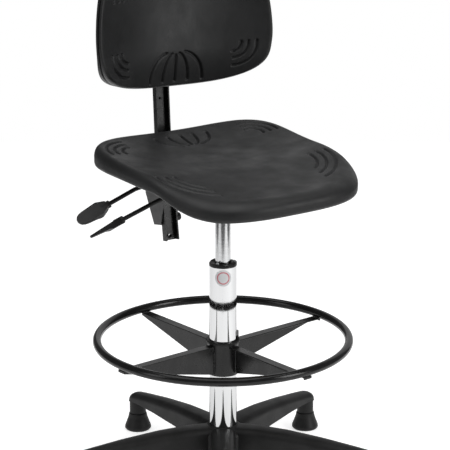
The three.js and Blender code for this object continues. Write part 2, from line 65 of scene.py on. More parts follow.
def box_mm(node):
    """Lowest and highest corner of a CAD node, in millimetres from the column axis."""
    low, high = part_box(node)
    return (np.array(low) - AXIS) / MM, (np.array(high) - AXIS) / MM


def box_centre(node):
    low, high = box_mm(node)
    return (low + high) / 2


# ------------------------------------------------------------------ mesh helpers
def arc(centre, radius, start, end, steps):
    """Points on a flat arc, angles in degrees."""
    angles = np.radians(np.linspace(start, end, steps))
    return [(centre[0] + radius * math.cos(t), centre[1] + radius * math.sin(t)) for t in angles]


def rounded(outline, steps=5):
    """A closed outline of (x, y, radius) corners with each corner rounded to its radius."""
    points = []
    count = len(outline)
    for i, (x, y, radius) in enumerate(outline):
        here = np.array([x, y], float)
        before = np.array(outline[i - 1][:2], float) - here
        after = np.array(outline[(i + 1) % count][:2], float) - here
        if radius <= 0:
            points.append(tuple(here))
            continue
        before_unit = before / np.linalg.norm(before)
        after_unit = after / np.linalg.norm(after)
        half = math.acos(np.clip(before_unit @ after_unit, -1, 1)) / 2
        reach = min(radius / math.tan(half), 0.49 * np.linalg.norm(before), 0.49 * np.linalg.norm(after))
        start, end = here + before_unit * reach, here + after_unit * reach
        for share in np.linspace(0, 1, steps):
            points.append(tuple((1 - share) ** 2 * start + 2 * share * (1 - share) * here + share**2 * end))
    return points


def turned(profile, sides, centre=(0, 0)):
    """A turned shape: the profile is a closed loop of (radius, z) points."""
    angles = np.linspace(0, 2 * math.pi, sides, endpoint=False)
    points = []
    rings = []
    for radius, z in profile:
        if radius < 1e-4:
            rings.append([len(points)] * sides)
            points.append((centre[0], centre[1], z))
            continue
        rings.append(list(range(len(points), len(points) + sides)))
        points += [(centre[0] + radius * math.cos(t), centre[1] + radius * math.sin(t), z) for t in angles]
    return points, ring_faces(rings, loop=True)


def ring_faces(rings, loop=False):
    """Faces between neighbouring rings of vertex numbers, without the ones that have no area."""
    faces = []
    pairs = list(zip(rings, rings[1:] + rings[:1])) if loop else list(zip(rings, rings[1:]))
    for low, high in pairs:
        for i in range(len(low)):
            j = (i + 1) % len(low)
            corners = list(dict.fromkeys([low[i], low[j], high[j], high[i]]))
            if len(corners) > 2:
                faces.append(corners)
    return faces


def loft(rings):
    """A closed shape through rings with the same number of points, flat at both ends."""
    count = len(rings[0])
    points = [tuple(p) for ring in rings for p in ring]
    numbers = [list(range(i * count, (i + 1) * count)) for i in range(len(rings))]
    return points, ring_faces(numbers) + [numbers[0][::-1], numbers[-1]]


def swept(path, radius, sides):
    """A round bar along a path. The radius is one number, or one for each point of the path."""
    path = np.array(path, float)
    radii = np.broadcast_to(radius, len(path))
    ahead = np.gradient(path, axis=0)
    ahead /= np.linalg.norm(ahead, axis=1)[:, None]
    side = np.cross(ahead[0], (0, 0, 1) if abs(ahead[0][2]) < 0.9 else (1, 0, 0))
    rings = []
    for point, direction, size in zip(path, ahead, radii):
        side = side - direction * (side @ direction)
        side /= np.linalg.norm(side)
        other = np.cross(direction, side)
        turn = np.linspace(0, 2 * math.pi, sides, endpoint=False)
        rings.append([point + size * (math.cos(t) * side + math.sin(t) * other) for t in turn])
    return loft(rings)


def together(*shapes):
    """Several shapes as one list of points and faces."""
    points = []
    faces = []
    for more, its_faces in shapes:
        faces += [[len(points) + i for i in face] for face in its_faces]
        points += list(more)
    return points, faces


def moved(shape, matrix):
    points, faces = shape
    return [tuple(matrix @ Vector(p)) for p in points], faces


def box_shape(low, high):
    corners = [(x, y, z) for z in (low[2], high[2]) for x, y in
               ((low[0], low[1]), (high[0], low[1]), (high[0], high[1]), (low[0], high[1]))]
    return loft([corners[:4], corners[4:]])


def as_object(name, shape):
    """A mesh object in the row frame, in metres, with its faces pointing out."""
    points, faces = shape
    mesh = bpy.data.meshes.new(name)
    mesh.from_pydata([tuple(np.array(p) * MM + AXIS) for p in points], [], faces)
    tidy = bmesh.new()
    tidy.from_mesh(mesh)
    bmesh.ops.recalc_face_normals(tidy, faces=tidy.faces)
    tidy.to_mesh(mesh)
    tidy.free()
    made = bpy.data.objects.new(name, mesh)
    bpy.context.scene.collection.objects.link(made)
    return made


def apply_modifiers(piece):
    """Turns what the modifiers make into the piece's own mesh."""
    graph = bpy.context.evaluated_depsgraph_get()
    old = piece.data
    piece.data = bpy.data.meshes.new_from_object(piece.evaluated_get(graph))
    piece.data.name = old.name
    piece.modifiers.clear()
    bpy.data.meshes.remove(old)


def carve(piece, operation, *shapes):
    """Joins shapes to a piece (UNION) or cuts them out of it (DIFFERENCE)."""
    tools = [as_object("tool", shape) for shape in shapes]
    for tool in tools:
        change = piece.modifiers.new("carve", "BOOLEAN")
        change.operation = operation
        change.solver = "EXACT"
        change.object = tool
    apply_modifiers(piece)
    for tool in tools:
        bpy.data.objects.remove(tool)
    return piece


def soften(piece, width, segments):
    """Rounds every edge that turns by more than 28 degrees."""
    bevel = piece.modifiers.new("edges", "BEVEL")
    bevel.width = width * MM
    bevel.segments = segments
    bevel.limit_method = "ANGLE"
    bevel.angle_limit = math.radians(28)
    apply_modifiers(piece)
    return piece


def fit(piece, material, *nodes, sharp=32, soft=False, slot=None):
    """Gives a piece its material and shading, and lets it move with the CAD nodes.

    `slot` is not used.
    """
    piece.data.materials.clear()
    piece.data.materials.append(material)
    piece.data.shade_smooth()
    if not soft:
        piece.data.set_sharp_from_angle(angle=math.radians(sharp))
        even = piece.modifiers.new("even_shading", "WEIGHTED_NORMAL")
        even.keep_sharp = True
    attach(piece, BODY[nodes[0]])
    slot or SLOT[nodes[0]]
    return piece


def stand_for(piece, material, *nodes, sharp=32, soft=False):
    fit(piece, material, *nodes, sharp=sharp, soft=soft)
    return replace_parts(piece, *nodes)


def cad_copy(node, width, segments):
    """The CAD node's own shape with its flat faces merged and its edges rounded."""
    mesh = frame["nodes"][node].data.copy()
    clean = bmesh.new()
    clean.from_mesh(mesh)
    bmesh.ops.remove_doubles(clean, verts=clean.verts, dist=2e-6)
    bmesh.ops.dissolve_limit(clean, angle_limit=math.radians(1), verts=clean.verts, edges=clean.edges)
    clean.to_mesh(mesh)
    clean.free()
    piece = bpy.data.objects.new(node + "_finished", mesh)
    bpy.context.scene.collection.objects.link(piece)
    return soften(piece, width, segments)


# ------------------------------------------------------------------ materials
class Look:
    """One procedural material, built on a Principled shader."""

    def __init__(self, name, roughness, metallic=0.0, specular=0.5):
        self.material = bpy.data.materials.new(name)
        self.material.use_nodes = True
        self.tree = self.material.node_tree
        self.shader = self.tree.nodes["Principled BSDF"]
        self.shader.inputs["Roughness"].default_value = roughness
        self.shader.inputs["Metallic"].default_value = metallic
        self.shader.inputs["Specular IOR Level"].default_value = specular
        self.place = self.tree.nodes.new("ShaderNodeTexCoord").outputs["Object"]

    def noise(self, scale, detail, stretch=None):
        """Noise in the object's own space, scale in waves per metre."""
        node = self.tree.nodes.new("ShaderNodeTexNoise")
        node.inputs["Scale"].default_value = scale
        node.inputs["Detail"].default_value = detail
        place = self.place
        if stretch is not None:
            mapping = self.tree.nodes.new("ShaderNodeMapping")
            mapping.inputs["Scale"].default_value = stretch
            self.tree.links.new(place, mapping.inputs["Vector"])
            place = mapping.outputs["Vector"]
        self.tree.links.new(place, node.inputs["Vector"])
        return node.outputs["Fac"]

    def cells(self, scale, feature="F1"):
        """Distance to the nearest of scattered points, scale in cells per metre."""
        node = self.tree.nodes.new("ShaderNodeTexVoronoi")
        node.feature = feature
        node.inputs["Scale"].default_value = scale
        self.tree.links.new(self.place, node.inputs["Vector"])
        return node.outputs["Distance"]

    def colours(self, source, dark, light, start=0.3, end=0.7):
        """The base colour, from dark to light along a texture value."""
        ramp = self.tree.nodes.new("ShaderNodeValToRGB")
        ramp.color_ramp.elements[0].position = start
        ramp.color_ramp.elements[1].position = end
        ramp.color_ramp.elements[0].color = (*dark, 1)
        ramp.color_ramp.elements[1].color = (*light, 1)
        self.tree.links.new(source, ramp.inputs["Fac"])
        self.tree.links.new(ramp.outputs["Color"], self.shader.inputs["Base Color"])

    def rough(self, source, low, high):
        """The roughness, from low to high along a texture value."""
        node = self.tree.nodes.new("ShaderNodeMapRange")
        node.inputs["From Min"].default_value = 0.3
        node.inputs["From Max"].default_value = 0.7
        node.inputs["To Min"].default_value = low
        node.inputs["To Max"].default_value = high
        self.tree.links.new(source, node.inputs["Value"])
        self.tree.links.new(node.outputs["Result"], self.shader.inputs["Roughness"])

    def bumps(self, *layers):
        """Bump layers of (texture value, height in metres), one over the other."""
        normal = None
        for source, height in layers:
            node = self.tree.nodes.new("ShaderNodeBump")
            node.inputs["Distance"].default_value = height
            self.tree.links.new(source, node.inputs["Height"])
            if normal is not None:
                self.tree.links.new(normal, node.inputs["Normal"])
            normal = node.outputs["Normal"]
        self.tree.links.new(normal, self.shader.inputs["Normal"])


def grey(value, warmth=0.0):
    """A grey, a little red where warmth is above zero and a little blue where it is below."""
    return (value * (1 + warmth), value, value * (1 - warmth))


def foam_skin():
    """Moulded polyurethane skin: matt black with a fine leather grain and faint handling marks."""
    look = Look("foam_skin", 0.5, specular=0.3)
    look.colours(look.noise(9, 3), grey(0.008, -0.02), grey(0.0155, -0.02))
    look.rough(look.noise(26, 6), 0.39, 0.59)
    grain = look.cells(1500, "SMOOTH_F1")
    look.bumps((look.noise(34, 5), 0.0005), (grain, 0.00012), (look.noise(4200, 2), 0.00004))
    return look.material


def moulded_nylon():
    """Glass-filled nylon with a spark-eroded grain, slightly paler where it is rubbed."""
    look = Look("moulded_nylon", 0.5, specular=0.21)
    look.colours(look.noise(30, 5), grey(0.009), grey(0.015))
    look.rough(look.noise(25, 3), 0.42, 0.54)
    look.bumps((look.noise(90, 2), 0.0001), (look.noise(1600, 3), 0.00008))
    return look.material


def powder_coat(name="powder_coat", gloss=(0.24, 0.34), specular=0.30):
    """Black powder coat with its orange-peel skin."""
    look = Look(name, gloss[1], specular=specular)
    look.colours(look.noise(40, 3), grey(0.007), grey(0.011))
    look.rough(look.noise(50, 3), *gloss)
    look.bumps((look.noise(420, 2), 0.00008), (look.noise(2600, 1), 0.00002))
    return look.material


def polished_chrome():
    """Bright chrome plate over a polished tube: faint lines along the tube and slight haze."""
    look = Look("polished_chrome", 0.05, metallic=1.0)
    look.colours(look.noise(6, 4, (6, 6, 1)), grey(0.55, -0.006), grey(0.60, -0.006))
    look.rough(look.noise(20, 5, (8, 8, 1)), 0.035, 0.075)
    look.bumps((look.noise(90, 2, (1, 1, 0.05)), 0.00001))
    return look.material


def ground_steel():
    """The gas cylinder: chromed, ground round the axis, greyer than the tube."""
    look = Look("ground_steel", 0.16, metallic=1.0)
    look.colours(look.noise(30, 3, (1, 1, 8)), grey(0.44, -0.008), grey(0.52, -0.008))
    look.rough(look.noise(60, 3, (1, 1, 14)), 0.09, 0.13)
    look.bumps((look.noise(700, 1, (0.05, 0.05, 1)), 0.000002))
    return look.material


def zinc_plate():
    """Zinc-plated steel: cool grey with a soft crystalline mottle."""
    look = Look("zinc_plate", 0.35, metallic=1.0)
    look.colours(look.cells(260), grey(0.36, -0.03), grey(0.52, -0.03), 0.0, 0.6)
    look.rough(look.noise(120, 4), 0.28, 0.46)
    look.bumps((look.noise(900, 3), 0.00002))
    return look.material


def dark_steel():
    """The back carrier's bracket: dark grey paint that lets the pressing show."""
    look = Look("dark_steel", 0.42)
    look.colours(look.noise(60, 4), grey(0.030), grey(0.042))
    look.rough(look.noise(70, 3), 0.34, 0.48)
    look.bumps((look.noise(500, 2), 0.00006))
    return look.material


def birch_plywood():
    """Birch plywood: long grain on the faces and glue lines through the thickness."""
    look = Look("birch_plywood", 0.7)
    look.colours(look.noise(14, 8, (1, 9, 60)), (0.34, 0.21, 0.10), (0.56, 0.39, 0.21))
    look.rough(look.noise(80, 4), 0.6, 0.8)
    look.bumps((look.noise(200, 4, (1, 10, 10)), 0.00008))
    return look.material


FOAM = foam_skin()
NYLON = moulded_nylon()
PAINT = powder_coat()
GLOSS_PAINT = powder_coat("gloss_coat", (0.13, 0.20), 0.24)
SATIN_PAINT = powder_coat("satin_coat", (0.42, 0.54), 0.20)
CHROME = polished_chrome()
GROUND = ground_steel()
ZINC = zinc_plate()
BRACKET = dark_steel()
PLYWOOD = birch_plywood()
SLOT_LOOK = {
    "chrome": CHROME, "black_nylon": NYLON, "black_paint": PAINT,
    "pu_foam": FOAM, "zinc_steel": ZINC, "plywood": PLYWOOD,
}


def dress_cad_nodes():
    """Every carried-over CAD node gets the procedural material of its slot."""
    for name, node in frame["nodes"].items():
        node.data.materials.clear()
        node.data.materials.append(SLOT_LOOK[SLOT[name]])
        node.data.shade_smooth()
        node.data.set_sharp_from_angle(angle=math.radians(32))


# ------------------------------------------------------------------ moulded pads
def square_round(a, b, power):
    """Places points of the unit square inside a squared-round outline of the unit size."""
    a, b = np.asarray(a, float), np.asarray(b, float)
    reach = (np.abs(a) ** power + np.abs(b) ** power) ** (1 / power)
    share = np.maximum(np.abs(a), np.abs(b)) / np.maximum(reach, 1e-9)
    return a * share, b * share


def ramp(value, low, high):
    """Rises smoothly from 0 at low to 1 at high."""
    share = np.clip((value - low) / (high - low), 0, 1)
    return share * share * (3 - 2 * share)


def square_loop(last):
    """Places round the edge of a square grid numbered 0 to last, in order."""
    loop = [(i, 0) for i in range(last)] + [(last, j) for j in range(last)]
    return loop + [(i, last) for i in range(last, 0, -1)] + [(0, j) for j in range(last, 0, -1)]


def pad_shape(cells, rim, place):
    """A closed pad: a grid over each face and a band of rings round its rim.

    rim lists (scale, depth) from the upper face's edge to the lower face's edge, and
    place(a, b, depth) gives the points in millimetres, depth 0 on the upper face and 1 on the lower.
    """
    line = np.linspace(-1, 1, cells + 1)
    a, b = np.meshgrid(line, line, indexing="ij")
    loop = square_loop(cells)
    edge_a = np.array([line[i] for i, _ in loop])
    edge_b = np.array([line[j] for _, j in loop])
    number = np.arange((cells + 1) ** 2).reshape(cells + 1, cells + 1)
    upper = place(a * rim[0][0], b * rim[0][0], 0 * a).reshape(-1, 3)
    lower = place(a * rim[-1][0], b * rim[-1][0], 0 * a + 1).reshape(-1, 3)
    points = [upper]
    rings = [[int(number[i, j]) for i, j in loop]]
    total = len(upper)
    for scale, depth in rim[1:-1]:
        points.append(place(edge_a * scale, edge_b * scale, 0 * edge_a + depth))
        rings.append(list(range(total, total + len(loop))))
        total += len(loop)
    points.append(lower)
    rings.append([int(number[i, j]) + total for i, j in loop])
    faces = ring_faces(rings)
    for i in range(cells):
        for j in range(cells):
            corners = ((i, j), (i + 1, j), (i + 1, j + 1), (i, j + 1))
            square = [int(number[corner]) for corner in corners]
            faces.append(square)
            faces.append([k + total for k in square[::-1]])
    return np.concatenate(points), faces


def roll(from_scale, from_depth, to_depth, steps):
    """Rim points of a quarter-round from a face's edge out to the outline."""
    points = []
    for turn in np.radians(np.linspace(0, 90, steps)):
        scale = from_scale + (1 - from_scale) * math.sin(turn)
        points.append((scale, from_depth + (to_depth - from_depth) * (1 - math.cos(turn))))
    return points


def press_grooves(piece, grooves, half_width, depth, flat, inward):
    """Presses rounded grooves into a pad. Each groove is a line of 2-D points, and flat(points) gives a
    vertex's place in that plane. Only vertices whose normal is against `inward` are pressed."""
    mesh = piece.data
    count = len(mesh.vertices)
    place = np.zeros(count * 3)
    normal = np.zeros(count * 3)
    mesh.vertices.foreach_get("co", place)
    mesh.vertices.foreach_get("normal", normal)
    place = place.reshape(-1, 3)
    normal = normal.reshape(-1, 3)
    here = flat((place - AXIS) / MM)
    nearest = np.full(count, 1e9)
    for groove in grooves:
        line = np.array(groove, float)
        for start, end in zip(line, line[1:]):
            along = end - start
            share = np.clip(((here - start) @ along) / (along @ along), 0, 1)
            gap = np.linalg.norm(here - start - share[:, None] * along, axis=1)
            nearest = np.minimum(nearest, gap)
    facing = normal @ np.array(inward) < -0.25
    pressed = depth * ramp(half_width - nearest, 0, 0.6 * half_width) * facing
    place = place - normal * (pressed * MM)[:, None]
    mesh.vertices.foreach_set("co", place.astype(np.float32).ravel())
    mesh.update()


def corner_arcs(centre, radii, start, ends):
    """Nested arcs in the two mirrored corners."""
    lines = []
    for radius, end in zip(radii, ends):
        one = arc(centre, radius, start, end, 18)
        lines += [one, [(-x, y) for x, y in one]]
    return lines


def fan(edge, reach):
    """Five grooves that spread out to the edge: one straight, two gently curved and two strongly curved."""
    lines = [[(0, edge), (0, edge + 0.9 * reach)]]
    for offset, width, first in ((0, 26, 18), (12, 42, 10)):
        turn = np.radians(np.linspace(first, 90, 16))
        one = [(offset + width * math.sin(t), edge + reach * math.cos(t)) for t in turn]
        lines += [one, [(-x, y) for x, y in one]]
    return lines


# ------------------------------------------------------------------ seat
def seat_cushion():
    low, high = box_mm("seat_foam")
    pinch = 0.03                                  # the sides pull in between the corners
    half = (high[0] - low[0]) / 2 / (1 - pinch)
    front, rear = -low[1], high[1]
    base = box_mm("seat_board")[0][2]
    thickness = 46                                # before the rises, the falls and the hollow are added
    rear_rise, corner_rise, side_rise = 13, 6, 5  # how far the rear edge, its corners and the sides stand up
    front_fall, front_lip = 20, 8                 # how far the front edge drops, above and below
    hollow = 11                                   # depth of the hollow in the middle of the seat
    tuck = 23                                     # how far the underside rises beside and behind the board
    rim_start = 0.885                             # where the upper face starts to roll over the edge
    side_slope = math.tan(math.radians(0.7))      # the pad's lean to one side, doubled at its front edge

    def place(a, b, depth):
        edge = np.maximum(np.abs(a), np.abs(b))
        behind = ramp(b / np.maximum(edge, 1e-9), -0.75, 0.1)
        tight = 0.5 * behind * ramp(edge, 0.45, rim_start) * (1 - edge)     # a smaller roll, except in front
        power = np.where(b > 0, 4.6, 3.0)         # rear corners squarer than the front ones
        u, v = square_round(a * (1 + tight), b * (1 + tight), power)
        x = half * u * (1 - pinch * (1 - v * v))
        y = np.where(v > 0, rear, front) * v
        across = 1 - np.clip(u * u, 0, 1)
        along = 1 - np.clip(v * v, 0, 1)
        behind_middle = rear_rise * v * v + corner_rise * v * u * u
        before_middle = -front_fall * ramp(-v, 0.12, 0.98) * (1 - 0.3 * u**4)
        beside_middle = side_rise * u * u * ramp(v, -0.75, -0.2)
        top = base + thickness + beside_middle + np.where(v > 0, behind_middle, before_middle)
        top = top - hollow * across * along
        lift = np.maximum(ramp(np.abs(x), 100, 190) * ramp(y, -180, -80), ramp(y, 116, 180))
        bottom = base + tuck * lift - front_lip * ramp(-y, 150, 215)
        z = top + (bottom - top) * depth + x * side_slope * (1 - np.minimum(v, 0))
        return np.stack([x, y, z], axis=-1)

    rim = roll(rim_start, 0.0, 0.56, 12)
    rim += [(1.0, 0.62), (1.0, 0.68)]
    rim += [(scale, 1 - depth) for scale, depth in roll(0.955, 0.0, 0.22, 7)[::-1]]
    cells = 240
    piece = as_object("seat_cushion", pad_shape(cells, rim, place))
    lines = corner_arcs((70, -70), (102, 85.5, 69), 5, (-69, -64, -52))
    lines += corner_arcs((122, 98), (51, 37, 23), 88, (-10, -12, -18))
    lines += [[(x, 150 - y) for x, y in line] for line in fan(0, 46)]
    press_grooves(piece, lines, half_width=3.0, depth=3.2, flat=lambda p: p[:, :2], inward=(0, 0, -1))
    board_low, board_high = box_mm("seat_board")
    below = (CLEAR, CLEAR, 20)
    carve(piece, "DIFFERENCE", box_shape(board_low - below, board_high + CLEAR))
    stand_for(piece, FOAM, "seat_foam", soft=True)


# ------------------------------------------------------------------ backrest
BACK_LEAN = math.radians(4)
BACK_THICKNESS = 46                               # in the middle, where the board is flush with its rear
BACK_BOARD = {"front": 38.0, "foot": 40.0, "top": 200.0}    # faces of the board in the backrest's own frame


def back_frame():
    """The backrest's own frame: X across, Y from its front to its rear, Z up from its lower edge."""
    board_low = box_mm("backrest_board")[0]
    cos, sin = math.cos(BACK_LEAN), math.sin(BACK_LEAN)
    foot = board_low[2] - BACK_BOARD["foot"] * cos + BACK_THICKNESS * sin
    face = board_low[1] - BACK_BOARD["front"] * cos - BACK_BOARD["foot"] * sin
    return Matrix.Translation((0, face, foot)) @ Matrix.Rotation(-BACK_LEAN, 4, "X")


def backrest_cushion():
    low, high = box_mm("backrest_foam")
    to_chair = back_frame()
    taper = 0.017                                 # the sides pull in a little above the lower corners
    narrowing = 0.16                              # and further towards the top
    front_sweep, rear_sweep = 62, 79              # how far the wings come forward, in front and behind
    wing_start = 0.44                             # share of the half width where the rear begins to sweep
    corner_lift = 7.5                             # how far the lower edge rises towards its corners
    curl_depth = 15                               # how far the lower edge curls back
    side_slope = math.tan(math.radians(1.0))      # out of level
    off_centre = 1.2
    half = (high[0] - low[0]) / 2 / (1 - taper)
    height = (high[2] - low[2]) / math.cos(BACK_LEAN)
    turn = np.array(to_chair.to_3x3())
    origin = np.array(to_chair.translation)

    def place(a, b, depth):
        u, v = square_round(a, b, 3.6)
        above_corners = ramp(v, -0.85, -0.4)
        x = half * u * (1 - narrowing * np.maximum(0, (v + 0.3) / 1.3) ** 2 - taper * above_corners)
        z = height / 2 * (1 + v) + np.where(v < 0, corner_lift * u * u * v * v, 0) - x * side_slope
        curl = curl_depth * ramp(-v, 0.45, 1.15) * (1 - 0.6 * u * u)
        front = (9 * above_corners - front_sweep) * np.abs(u) ** 2.1 + curl
        wing = np.maximum(0, (np.abs(u) - wing_start) / (1 - wing_start))
        rear = BACK_THICKNESS - rear_sweep * wing**2
        y = front + (rear - front) * depth
        return np.stack([x - off_centre, y, z], axis=-1) @ turn.T + origin

    side_groove = [(0.996, 0.40), (0.986, 0.44), (0.984, 0.49), (0.988, 0.54), (0.997, 0.58)]
    rim = roll(0.958, 0.0, 0.24, 9)
    rim += [(1.0, 0.36), *side_groove, (1.0, 0.62), (1.0, 0.70)]
    rim += [(scale, 1 - depth) for scale, depth in roll(0.965, 0.0, 0.22, 7)[::-1]]
    cells = 230
    piece = as_object("backrest_cushion", pad_shape(cells, rim, place))

    def flat(points):
        own = (points - origin) @ turn
        return own[:, [0, 2]]

    lines = corner_arcs((107, 73), (43, 29, 17), 2, (-88, -86, -84))
    lines += corner_arcs((98, height - 79), (43, 29, 17), -2, (88, 86, 84))
    lines += fan(11, 53)
    lines += [[(0.86 * x, height - y) for x, y in line] for line in fan(11, 53)]
    press_grooves(piece, lines, half_width=2.9, depth=4.0, flat=flat, inward=(0, 1, 0))
    return piece, to_chair


def backrest_foam_piece():
    piece, to_chair = backrest_cushion()
    low, high = box_mm("backrest_board")
    half = (high[0] - low[0]) / 2 + CLEAR
    recess = box_shape((-half, BACK_BOARD["front"] - CLEAR, BACK_BOARD["foot"] - CLEAR),
                       (half, 2 * BACK_THICKNESS, BACK_BOARD["top"] + CLEAR))
    carve(piece, "DIFFERENCE", moved(recess, to_chair))
    stand_for(piece, FOAM, "backrest_foam", soft=True)


# ------------------------------------------------------------------ star base
GLIDE_CIRCLE = math.hypot(*box_centre("glide_1")[:2])
LEG_TIP = GLIDE_CIRCLE + 16
NOSE = 18                                         # length of a leg's rounded end
LEG_CORNER = 13.5                                 # radius of a leg's shoulders
STEM_RADIUS = 5.5                                 # of a glide's stem


def leg_share(reach):
    """How far along a leg a place is: 0 at the hub and 1 close to the end."""
    return np.clip((reach - 40) / 249, 0, 1)


def leg_stations():
    """Reach, height of the top, height of the foot and half width along a leg, from the column axis out."""
    nose = LEG_TIP - NOSE * (1 - np.sin(np.linspace(0.06, 1, 10) * math.pi / 2))
    for reach in np.concatenate([np.linspace(28, GLIDE_CIRCLE - 5, 20), nose]):
        top = np.interp(reach, [14, 60, 120, 190, 250, LEG_TIP], [97, 98.5, 96, 88.5, 79.5, 72])
        foot = np.interp(reach, [28, 120, 200, 255, LEG_TIP], [46, 57.5, 61, 61, 57])
        yield reach, top, foot, 23.5 * (1 - 0.26 * leg_share(reach))


def leg_section(reach, top, foot, half, corner):
    """An arched section across a leg, from one foot over the crown to the other."""
    side = [(-half, foot), (-half + 1, top - corner)]
    shoulder = arc((-half + 1 + corner, top - corner), corner, 180, 98, 9)[1:]
    flat = np.linspace(-half + 1 + corner, 0, 5)[1:]
    crown = [(x, top + 0.6 * (1 - (x / (corner - half)) ** 2)) for x in flat]
    left = side + shoulder + crown
    right = [(-x, z) for x, z in left[:-1][::-1]]
    return [(x, reach, z) for x, z in left + right]


def base_leg():
    rings = []
    for reach, top, foot, half in leg_stations():
        nose = np.clip((reach - LEG_TIP + NOSE) / NOSE, 0, 1)
        bow = math.sqrt(max(0.0, 1 - nose**2.3))
        half_here = half * (0.3 + 0.7 * bow)
        top_here = top - 14 * (1 - bow)
        corner = min(LEG_CORNER, 0.7 * half_here, top_here - foot - 1)
        rings.append(leg_section(reach, top_here, foot, half_here, corner))
    return loft(rings)


def leg_pockets():
    """The hollows under a leg, left between its cross ribs."""
    pockets = []
    edges = [46, 98, 152, 205, 254]
    for near, far in zip(edges, edges[1:]):
        rings = []
        for reach in (near + 2, far - 2):
            top = np.interp(reach, [14, 60, 120, 190, 250], [89, 90, 88, 82, 74])
            half = 19.5 * (1 - 0.28 * leg_share(reach))
            left = [(-half, 20), (-half, top - 5), (-half + 5, top)]
            right = [(-x, z) for x, z in left[::-1]]
            rings.append([(x, reach, z) for x, z in left + right])
        pockets.append(loft(rings))
    return pockets


def star_base():
    tube_radius = box_mm("column_tube")[1][0]
    tube_foot = box_mm("column_tube")[0][2]
    yaw = math.degrees(math.atan2(*box_centre("glide_1")[1::-1]))
    hub_top = [(31, 96, 6), (27.5, 98, 1), (26.4, 99, 0.6), (0, 99, 0)]
    hub = rounded([(0, 44, 0), (43, 44, 2), (43, 86, 8), *hub_top])
    foot = [(0, 30), (29, 30), (31, 32), (31, 52), (0, 52)]
    piece = as_object("star_base_moulding", turned(hub, 96))
    legs = []
    pockets = []
    for i in range(5):
        turn = Matrix.Rotation(math.radians(yaw - 90 + 72 * i), 4, "Z")
        legs.append(moved(base_leg(), turn))
        boss = rounded([(0, 34, 0), (15.8, 34, 1), (15.9, 64, 1), (0, 64, 0)])
        legs.append(turned(boss, 48, box_centre(f"glide_{i + 1}")[:2]))
        pockets += [moved(pocket, turn) for pocket in leg_pockets()]
    carve(piece, "UNION", *legs)
    carve(piece, "DIFFERENCE", *pockets)
    carve(piece, "UNION", turned(foot, 72))
    bore_low, bore_radius = tube_foot - CLEAR, tube_radius + CLEAR
    bore = [(0, bore_low), (bore_radius, bore_low), (bore_radius, 140), (0, 140)]
    hole_radius = STEM_RADIUS + CLEAR
    hole = [(0, 20), (hole_radius, 20), (hole_radius, 60), (0, 60)]
    holes = [turned(hole, 24, box_centre(f"glide_{i + 1}")[:2]) for i in range(5)]
    carve(piece, "DIFFERENCE", turned(bore, 96), *holes)
    stand_for(piece, NYLON, "star_base", sharp=38)


def glides():
    for i in range(5):
        name = f"glide_{i + 1}"
        low, high = box_mm(name)
        centre = box_centre(name)
        radius = (high[0] - low[0]) / 2
        foot = [(0, 0, 0), (radius - 3, 0, 1.5), (radius - 0.4, 3.2, 2), (radius - 0.8, 7, 3)]
        bell = [(21.6, 16.5, 14), (18.6, 25, 10), (17.2, 32.4, 1.2), (15.5, 33.6, 0.6)]
        stem = [(STEM_RADIUS, 33.6, 0), (STEM_RADIUS, high[2] - 1, 0.8), (STEM_RADIUS - 1, high[2], 0)]
        profile = rounded(foot + bell + stem + [(0, high[2], 0)])
        stand_for(as_object(name + "_foot", turned(profile, 64, centre[:2])), NYLON, name)


# ------------------------------------------------------------------ column
def column():
    low, high = box_mm("column_tube")
    outer = high[0]
    inner = outer - 1.5
    outside = [(outer, low[2], 0.6), (outer, high[2], 0.6)]
    wall = rounded([(inner, low[2], 0.3), *outside, (inner, high[2], 0.3)], 4)
    stand_for(as_object("column_sleeve", turned(wall, 128)), CHROME, "column_tube")


def column_collar():
    """The guide bush with its lobed cap, screwed to the top of the tube."""
    low, high = box_mm("column_bush")
    bore = 14.4                                   # round the gas cylinder
    rim = box_mm("column_tube")[1][2] + CLEAR
    tube_outer = box_mm("column_tube")[1][0]
    sleeve = [(bore, low[2]), (tube_outer - 1.8, low[2]), (tube_outer - 1.8, rim)]
    cap = [(tube_outer, rim), (tube_outer + 0.1, rim + 3), (tube_outer - 0.6, rim + 4.2)]
    mouth = [(bore + 1.2, rim + 4.2), (bore, rim + 3.4)]
    piece = as_object("column_collar", turned(sleeve + cap + mouth, 96))
    carve(piece, "UNION", *[collar_lobe(angle, bore, tube_outer, rim, high[2]) for angle in lobe_angles()])
    stand_for(piece, NYLON, "column_bush", sharp=30)
    for i, angle in enumerate(lobe_angles()):
        middle = (bore + tube_outer) / 2 + 0.6
        place = (middle * math.cos(angle), middle * math.sin(angle))
        head = [(0, 1.0), (1.0, 1.1), (1.3, 2.1), (2.6, 1.7), (2.9, 0.9), (2.9, -0.6), (0, -0.6)]
        shape = turned([(r, z + high[2] - 0.4) for r, z in head], 24, place)
        fit(as_object(f"collar_screw_{i + 1}", shape), ZINC, "column_bush", slot="zinc_steel")


def lobe_angles():
    """Three lobes: seen from the photo's side one to the right, one in front on the left, one behind."""
    return [math.radians(-31.7 + 120 * i) for i in range(3)]


def collar_lobe(angle, bore, outer, low, top):
    """A rounded ear on the cap: an arc of the ring, thick in the middle and falling to its ends."""
    rings = []
    for share in np.linspace(-1, 1, 15):
        turn = angle + share * math.radians(44)
        rise = (top - low - 4) * math.sqrt(max(0.0, 1 - share**2)) + 3.4
        section = rounded([(bore + 0.5, low + 0.5, 0.3), (outer, low + 0.5, 0.3),
                           (outer, low + rise, 1.6), (bore + 0.5, low + rise, 1.6)], 4)
        rings.append([(r * math.cos(turn), r * math.sin(turn), z) for r, z in section])
    return loft(rings)


